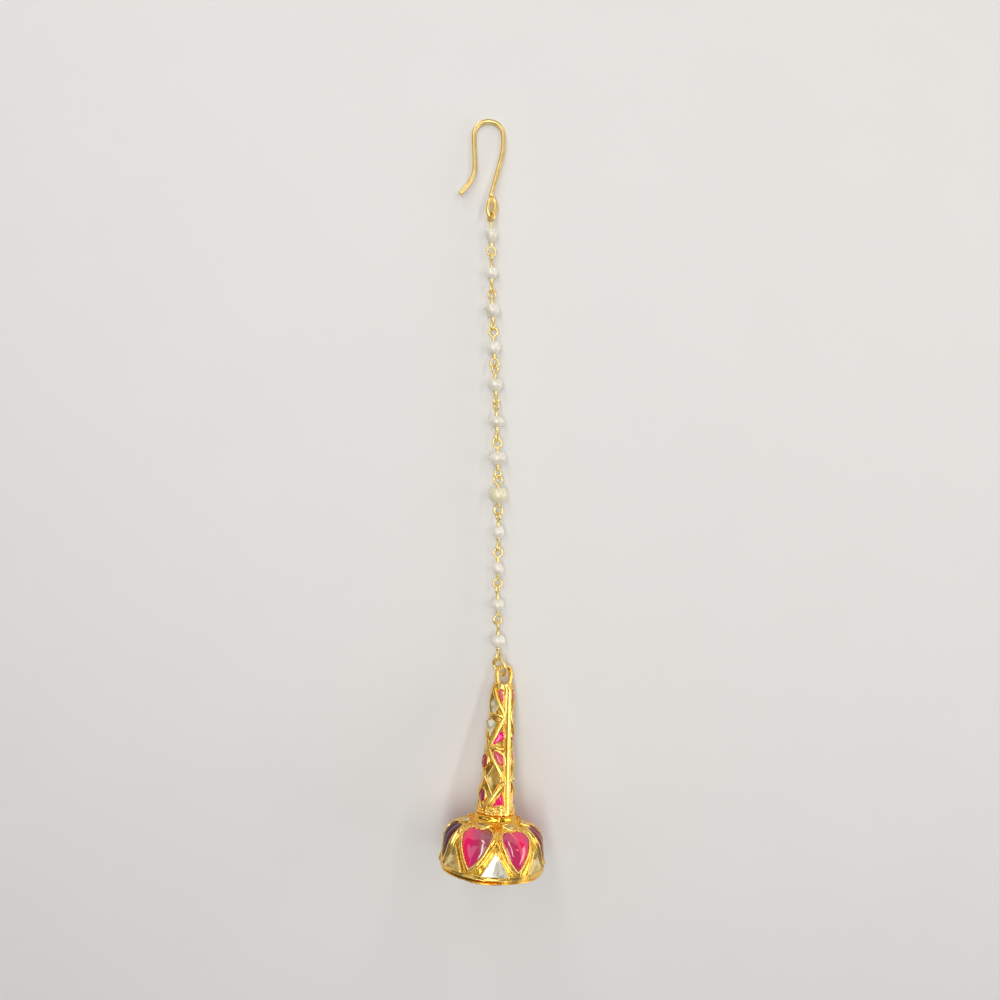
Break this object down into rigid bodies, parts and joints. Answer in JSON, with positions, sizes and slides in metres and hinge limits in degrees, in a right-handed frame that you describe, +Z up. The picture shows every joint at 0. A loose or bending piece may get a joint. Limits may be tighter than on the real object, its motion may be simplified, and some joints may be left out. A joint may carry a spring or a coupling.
{
  "type": "maang tikka",
  "caption": "Indian forehead ornament: wire hair hook, chain of pearls on linked gold wires, and a jhumki-like pendant with ruby hearts and uncut diamonds.",
  "frame": {"origin": "centre of the bounding box's footprint, on the surface that the ornament lies on", "axes": "+Z up from the surface; +Y along the ornament from the pendant's dome to the hook; +X to the right seen from above with the hook at the top"},
  "size_m": [0.0202, 0.146, 0.0198],
  "materials": {
    "gold": "polished 22 carat gold",
    "ruby": "polished, foil behind",
    "polki": "flat uncut diamond, foil behind",
    "pearl": "pearl lustre"
  },
  "bodies": {
    "root": {"hook": "gold", "jump_ring": "gold", "pearl_01": "pearl", "pearl_02": "pearl", "pearl_03": "pearl", "pearl_04": "pearl", "pearl_05": "pearl", "pearl_06": "pearl", "pearl_07": "pearl", "pearl_08": "pearl", "pearl_09": "pearl", "pearl_10": "pearl", "pearl_11": "pearl", "pearl_12": "pearl", "pearl_wire_01": "gold", "pearl_wire_02": "gold", "pearl_wire_03": "gold", "pearl_wire_04": "gold", "pearl_wire_05": "gold", "pearl_wire_06": "gold", "pearl_wire_07": "gold", "pearl_wire_08": "gold", "pearl_wire_09": "gold", "pearl_wire_10": "gold", "pearl_wire_11": "gold", "pearl_wire_12": "gold", "pendant_setting": "gold", "polki_triangle_1": "polki", "polki_triangle_2": "polki", "polki_triangle_3": "polki", "polki_triangle_4": "polki", "polki_triangle_5": "polki", "polki_triangle_6": "polki", "polki_triangle_7": "polki", "ruby_heart_1": "ruby", "ruby_heart_2": "ruby", "ruby_heart_3": "ruby", "ruby_heart_4": "ruby", "ruby_heart_5": "ruby", "ruby_heart_6": "ruby", "ruby_heart_7": "ruby", "shoulder_polki": "polki", "stem_polki_kites": "polki", "stem_polki_pears": "polki", "stem_polki_rhombs": "polki", "stem_ruby_drops": "ruby", "stem_ruby_leaves": "ruby", "stem_ruby_marquises": "ruby", "stem_ruby_pears": "ruby", "stem_ruby_wedges": "ruby"}
  },
  "joints": []
}
